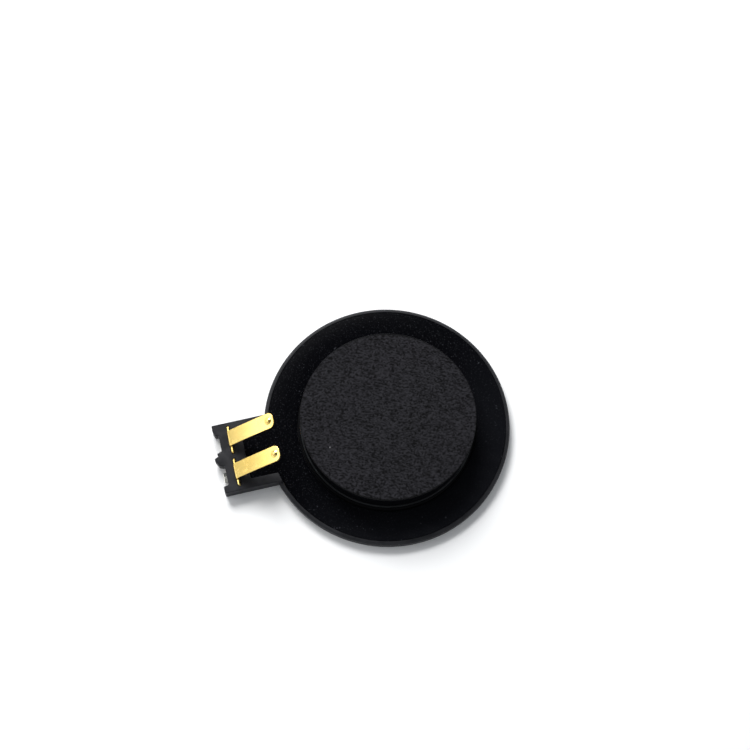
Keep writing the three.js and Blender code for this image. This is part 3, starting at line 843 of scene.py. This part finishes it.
notch = moulded(box_outline(-CASE_R - 1, -inner + 1, -notch_half, notch_half),
                [(0, -1), (0, high("flex_circuit")[2] + SLIP)])
case_mesh = combine("case", turned(case_profile), [("DIFFERENCE", *notch)])
place("motor_cup", case_mesh, FINISHES["black_case"], "motor_body", ["motor_case"])


# %% Adhesive bead
BEAD_RISE, BEAD_SAG = 0.135, 0.03


def wander(t, counts, phases):
    """A slow, closed variation round the part: a mean of sines with whole counts."""
    return sum(np.sin(n * t + p) for n, p in zip(counts, phases)) / len(counts)


def bead(steps=384):
    """A ring whose section is a flat foot under a slightly hollow sloping face. The face is
    height h(t) at the case and runs down to the sheet's edge, sagging by a parabola."""
    t = np.linspace(0, 2 * np.pi, steps, endpoint=False)
    rise = BEAD_RISE + 0.012 * wander(t, (3, 7, 12, 23), (0.4, 2.1, 4.0, 1.2))
    reach = (BEAD_R - CASE_R - 0.012) * (0.97 + 0.03 * wander(t, (5, 11, 17), (1.0, 3.2, 5.1)))
    foot, base = CASE_R + 0.01, RING_SEAT
    f = np.linspace(0, 1, 9)[:, None]
    r = np.vstack([foot + reach * f, (foot + reach)[None], (foot + 0 * reach)[None]])
    tip = RING_TOP - 0.015 - base
    slope = rise * (1 - f) + tip * f - BEAD_SAG * 4 * f * (1 - f)
    z = base + np.vstack([slope, (0 * t)[None], (0 * t)[None]])
    points = np.stack([r * np.cos(t), r * np.sin(t), z], axis=2).reshape(-1, 3)
    return points, grid_faces(len(r), steps, wrap_rows=True).tolist()


place("case_bead_line", raw_mesh("bead", *bead()), FINISHES["adhesive"], "motor_body",
      ["case_bead"], sharp=50)

# %% [markdown]
# ## The base plate
# A stamped steel disc with a drawn collar for the shaft. It closes the underside of the
# motor, so it is what shows when the part is turned over.

# %% Base plate
base_r = high("base_plate")[0]
base_t, collar_r, collar_top = 0.2, 0.9, high("base_plate")[2]
base_profile = rounded([
    (0, 0), (base_r, 0), (base_r, base_t), (collar_r, base_t), (collar_r, collar_top),
    (shaft_r, collar_top), (shaft_r, base_t / 2), (0, base_t / 2),
], [0, 0.04, 0.02, 0.05, 0.05, 0.03, 0.0, 0], 4)
place("steel_base", raw_mesh("base", *turned(base_profile)), FINISHES["steel"], "motor_body",
      ["base_plate"])

# %% [markdown]
# ## The spring contacts
# Each contact is one stamped strip. It is drawn flat first: a narrow foot and leg, a wide
# plate with round shoulders, and a blade with a round tip. The flat shape gets its
# thickness and soft edges, is cut across where it will bend, and is then rolled on to its
# path. The upper bend is the joint.

# %% Strip path and flat shape
FOOT_BEND_R = 0.14
FOLD_R, LEAN_R = 0.16, 0.06
BLADE_BOW = math.radians(5)     # the blade flattens by this much towards its tip
TIP_R = 0.4
FOLD_AT = np.array([-10.58, 1.42])      # the joint's X and Z


def strip_path(foot_x, foot_z, rise, lean, fold_r, blade_length):
    """The strip's middle line in X and Z, as runs of (length, curvature). Along a run of
    curvature k the heading is h + k s, and the place is the integral of its cosine and
    sine. Over the block the strip leans out by an angle and folds back on a radius. The
    fold's centre is on the line that brings the blade to where the frame has it. Gives a
    function from length to place and heading, and the lengths at which the runs meet."""
    upright_x = FOLD_AT[0] - FOLD_R
    centre_x = upright_x - LEAN_R * (1 - np.cos(lean)) + fold_r * np.cos(lean)
    shift = FOLD_R - fold_r + np.sin(rise) * (centre_x - FOLD_AT[0])
    centre_z = FOLD_AT[1] + shift / np.cos(rise)
    lean_z = centre_z - (LEAN_R + fold_r) * np.sin(lean)
    runs = [(upright_x - FOOT_BEND_R - foot_x, 0.0),
            (FOOT_BEND_R * np.pi / 2, 1 / FOOT_BEND_R),
            (lean_z - foot_z - FOOT_BEND_R, 0.0),
            (LEAN_R * lean, 1 / LEAN_R),
            (fold_r * (np.pi / 2 + lean - rise - BLADE_BOW / 2), -1 / fold_r),
            (blade_length, -BLADE_BOW / blade_length)]

    def follow(s):
        x, z, heading = np.full_like(s, foot_x), np.full_like(s, foot_z), np.zeros_like(s)
        for i, (length, k) in enumerate(runs):
            before = sum(run[0] for run in runs[:i])
            last = np.inf if i == len(runs) - 1 else length
            part = np.clip(s - before, -np.inf if i == 0 else 0, last)
            if k == 0:
                x, z = x + part * np.cos(heading), z + part * np.sin(heading)
            else:
                x = x + (np.sin(heading + k * part) - np.sin(heading)) / k
                z = z - (np.cos(heading + k * part) - np.cos(heading)) / k
            heading = heading + k * part
        return x, z, heading

    return follow, np.cumsum([0.0] + [run[0] for run in runs])


def strip_outline(leg_top, plate_top, end):
    """The flat strip from its foot at 0 to the blade's tip at end, as (along, across)."""
    plate_half, blade_half = 0.96, 0.525
    side = [(0, LEG_HALF), (leg_top, LEG_HALF), (leg_top, plate_half), (plate_top, plate_half),
            (plate_top, blade_half), (end, blade_half)]
    points = [(s, -w) for s, w in side] + [(s, w) for s, w in side[::-1]]
    radii = [0.06, 0.05, 0.1, 0.12, 0.06, TIP_R]
    return rounded(points, radii + radii[::-1], 8)


# %% Cutting and stamping the strip
PLATE_RISE = 0.13               # of the plate's top over the block
STRIP_EDGE = 0.022
BUMP_R, BUMP_RISE, BUMP_INSET = 0.25, 0.11, 0.42
DENT = np.linspace(-BUMP_R - 0.06, BUMP_R + 0.06, 30)     # the cuts through the bump


def cut_across(mesh, along, across):
    """Cuts every face of the flat strip at these places along it and across it."""
    work = bmesh.new()
    work.from_mesh(mesh)
    for axis, cuts in ((Vector((1, 0, 0)), along), (Vector((0, 1, 0)), across)):
        for cut in cuts:
            everything = [*work.verts, *work.edges, *work.faces]
            bmesh.ops.bisect_plane(work, geom=everything, dist=1e-6, plane_co=axis * float(cut),
                                   plane_no=axis)
    bmesh.ops.remove_doubles(work, verts=work.verts, dist=0.002)
    bmesh.ops.recalc_face_normals(work, faces=work.faces)
    work.to_mesh(mesh)
    work.free()


def stamped(along, across):
    """How far the stamped bump lifts the strip. It is a cap of a ball of radius
    (r r + h h) / 2 h, for a bump of radius r and height h, on a slightly raised foot."""
    away = np.hypot(along, across)
    ball = (BUMP_R ** 2 + BUMP_RISE ** 2) / (2 * BUMP_RISE)
    cap = np.sqrt(np.maximum(ball ** 2 - away ** 2, 0)) - (ball - BUMP_RISE)
    foot = np.clip(1 - away / (BUMP_R + 0.05), 0, 1) ** 2 * 0.02
    return np.maximum(cap, 0) + foot * (cap < 0)


def contact(letter, rise_degrees, lean_degrees, fold_r, blade_length):
    """One contact: drawn flat, cut, stamped and bent. A point at s along the strip and n
    above its middle goes to the path's place at s, moved by n square to the heading."""
    root = f"contact_root_{letter}"
    (x0, y0, z0), y1 = low(root), high(root)[1]
    rise, lean = math.radians(rise_degrees), math.radians(lean_degrees)
    follow, marks = strip_path(x0, z0 + STRIP / 2, rise, lean, fold_r, blade_length)
    upright = marks[2] - FOOT_BEND_R - (z0 + STRIP / 2)
    flat = strip_outline(upright + LEG_TOP, upright + BLOCK_TOP + PLATE_RISE, marks[-1])
    wall = np.vstack([edge_round(STRIP_EDGE, -STRIP / 2, -1, 3),
                      edge_round(STRIP_EDGE, STRIP / 2, 1, 3)])
    name = f"spring_contact_{letter}"
    mesh = raw_mesh(name, *moulded(flat, wall))
    bump_at = marks[-1] - BUMP_INSET
    cuts = np.concatenate([np.linspace(marks[1], marks[2], 9),
                           np.linspace(marks[3], marks[4], 5),
                           np.linspace(marks[4], marks[5], 17)[1:],
                           np.linspace(marks[5], bump_at - BUMP_R - 0.1, 8)[1:],
                           bump_at + DENT])
    cut_across(mesh, cuts, DENT)
    co = np.empty(len(mesh.vertices) * 3, np.float32)
    mesh.vertices.foreach_get("co", co)
    s, y, n = co.reshape(-1, 3).astype(float).T
    n = n + stamped(s - bump_at, y)
    x, z, heading = follow(s)
    bent = np.stack([x - n * np.sin(heading), y + (y0 + y1) / 2, z + n * np.cos(heading)], 1)
    mesh.vertices.foreach_set("co", bent.astype(np.float32).ravel())
    piece = place(name, mesh, FINISHES["gold_plate"], None, [root, f"contact_blade_{letter}"],
                  sharp=40)
    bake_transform(piece)


contact("a", rise_degrees=35, lean_degrees=42, fold_r=0.22, blade_length=3.79)
contact("b", rise_degrees=36.5, lean_degrees=50, fold_r=0.26, blade_length=3.83)

# %% [markdown]
# ## The cushion pad
# A disc of foam with a woven face, bonded to the case. It is die-cut, so it is flat on top,
# its rim is crushed a little by the cutter, and its side bulges slightly. A square grid
# is mapped on to the disc, so there is no pole in the middle, and the threads of the cloth
# are real hills in the mesh.


# %% Soft noise and threads
def soft_noise(x, y, pitch, seed):
    """Value noise: a fixed random grid of that pitch, blended by smooth steps, 0 to 1."""
    grid = np.random.default_rng(seed).random((256, 256))
    u, v = x / pitch + 128.0, y / pitch + 128.0
    i, j = np.floor(u).astype(int), np.floor(v).astype(int)
    fu, fv = u - i, v - j
    fu, fv = fu * fu * (3 - 2 * fu), fv * fv * (3 - 2 * fv)
    i0, i1, j0, j1 = i % 256, (i + 1) % 256, j % 256, (j + 1) % 256
    near = grid[i0, j0] * (1 - fu) + grid[i1, j0] * fu
    far = grid[i0, j1] * (1 - fu) + grid[i1, j1] * fu
    return near * (1 - fv) + far * fv


ROW_PITCH = 0.25


def threads(x, y):
    """How high each point stands in the cloth, 0 to 1: a weak sine across the rows, faint
    dashes along them where a thread shows on top, and mostly loose fibre in two sizes.
    Noise bends the rows a little."""
    c, s = math.cos(CLOTH_TURN), math.sin(CLOTH_TURN)
    bend = 0.10 * (soft_noise(x, y, 0.9, 3) - 0.5) + 0.07 * (soft_noise(x, y, 0.3, 4) - 0.5)
    across, along = (x * s + y * c + bend) / ROW_PITCH, x * c - y * s + bend
    rows = 0.5 + 0.5 * np.sin(2 * np.pi * across)
    dashes = soft_noise(along, np.floor(across + 0.25) * 0.47, 0.34, 5)
    fibre = soft_noise(x, y, 0.15, 6)
    fluff = soft_noise(along * 0.8, across * ROW_PITCH * 1.3, 0.078, 7)
    height = 0.11 * rows * (0.5 + dashes) + 0.03 * dashes + 0.09 * fibre + 0.75 * fluff
    return np.clip((height - 0.20) / 0.56, 0, 1)


# %% [markdown]
# The pad is laid by hand. It sits a little off the middle, and the soft foam is stretched
# slightly one way. Its tape is cut with it, so both follow the same mapping.


# %% As laid
PAD_LONG, PAD_SHORT = 5.96, 5.82        # half its length and half its width, once laid
PAD_TURN = math.radians(-13.8)
PAD_AT = np.array([-0.03, -0.13])


def as_laid(points):
    """Takes points of a round, central pad to where they lie: p' = R S R^T p + c, where R
    turns to the long direction and S stretches along it and across it."""
    turn = np.array([[math.cos(PAD_TURN), -math.sin(PAD_TURN)],
                     [math.sin(PAD_TURN), math.cos(PAD_TURN)]])
    stretch = turn @ np.diag([PAD_LONG / PAD_R, PAD_SHORT / PAD_R]) @ turn.T
    laid = np.array(points, float)
    laid[:, :2] = laid[:, :2] @ stretch.T + PAD_AT
    return laid


# %% Tape
tape_low = low("pad_tape")[2]
tape_r, _, tape_high = high("pad_tape")
tape_points, tape_faces = turned([(0, tape_low), (tape_r, tape_low), (tape_r, tape_high),
                                  (0, tape_high)])
place("tape_disc", raw_mesh("tape", as_laid(tape_points), tape_faces), FINISHES["tape"],
      "motor_body", ["pad_tape"])

# %% Pad mesh
PAD_STEPS = 296
WEAVE_DEPTH = 0.022
CRUSH = 0.07                    # width of the rim that the cutter crushed
PAD_INSET = 0.012               # the side may bulge this far past the top's edge
SIDE_LEVELS = np.array([        # (bulge, share of the height) from the top down
    (0.006, 0.80), (0.004, 0.6), (0.0, 0.4), (-0.004, 0.2), (-0.02, 0.0)])


def pad():
    """A disc from a square: x = u sqrt(1 - v v / 2), y = v sqrt(1 - u u / 2). The top dips by
    a quarter circle near the rim, and rows below it carry the side down to a flat foot.
    Gives points, faces and the cloth's painted shade at each point: dark in the gaps of
    the weave, at the crushed rim and on the side."""
    line = np.linspace(-1, 1, PAD_STEPS + 1)
    u, v = np.meshgrid(line, line, indexing="ij")
    x = (PAD_R - PAD_INSET) * u * np.sqrt(1 - v * v / 2)
    y = (PAD_R - PAD_INSET) * v * np.sqrt(1 - u * u / 2)
    crown_and_shade = threads(x, y)
    f = np.clip((np.hypot(x, y) - (PAD_R - CRUSH)) / CRUSH, 0, 1)
    unevenness = 0.012 * (soft_noise(x, y, 1.7, 8) - 0.5) ** 2
    drop = 0.05 * (1 - np.sqrt(1 - (0.98 * f) ** 2)) + unevenness
    z = PAD_TOP - 0.002 - drop - WEAVE_DEPTH * (1 - crown_and_shade) * (1 - 0.6 * f)
    top = np.stack([x, y, z], axis=2).reshape(-1, 3)
    n = PAD_STEPS
    index = np.arange((n + 1) ** 2).reshape(n + 1, n + 1)
    rim = np.concatenate([index[:-1, 0], index[-1, :-1], index[:0:-1, -1], index[0, :0:-1]])
    edge = top[rim]
    turn = np.arctan2(edge[:, 1], edge[:, 0])
    ragged = 0.004 * wander(turn, (41, 67, 103), (0.0, 1.0, 2.0))
    bulge, share = SIDE_LEVELS[:, :1], SIDE_LEVELS[:, 1:]
    reach = PAD_R - PAD_INSET + bulge + ragged * (share > 0)
    height = PAD_BOTTOM + share * (edge[:, 2].min() - 0.01 - PAD_BOTTOM)
    side = np.stack([reach * np.cos(turn), reach * np.sin(turn), height + 0 * reach], 2)
    points = np.vstack([top, side.reshape(-1, 3)])
    faces = grid_faces(n + 1, n + 1, wrap_columns=False)
    rows = np.vstack([rim[None], len(top) + np.arange(reach.size).reshape(reach.shape)])
    ahead = np.roll(rows, -1, axis=1)
    walls = np.stack([rows[:-1], ahead[:-1], ahead[1:], rows[1:]], 2).reshape(-1, 4)
    # Painted shade: the weave's gaps darker than its crowns, the crushed rim darker, the side
    # nearly black.
    shade = np.concatenate([(crown_and_shade * (1 - 0.85 * f)).ravel(), np.full(reach.size, 0.05)])
    return points, np.vstack([faces, walls]).tolist() + [rows[-1].tolist()], shade


pad_points, pad_faces, pad_shade = pad()
pad_mesh = bpy.data.meshes.new("pad")
pad_mesh.from_pydata(as_laid(pad_points).tolist(), [], pad_faces)
pad_mesh.attributes.new("crown_and_shade", "FLOAT", "POINT").data.foreach_set(
    "value", pad_shade.astype(np.float32))
work = bmesh.new()
work.from_mesh(pad_mesh)
bmesh.ops.recalc_face_normals(work, faces=work.faces)
work.to_mesh(pad_mesh)
work.free()
pad_piece = place("foam_pad", pad_mesh, FINISHES["pad_foam"], "motor_body", ["cushion_pad"],
                  sharp=80)

# %% [markdown]
# ## The plain pieces
# The pieces inside the case keep their plain solids, and only get their finishes.

# %% Finish the plain pieces
slots = {s["node"]: s["material_slot"] for s in frame["record"]["subparts"]}
for name, obj in frame["nodes"].items():
    obj.data.materials.clear()
    obj.data.materials.append(FINISHES[slots[name]])
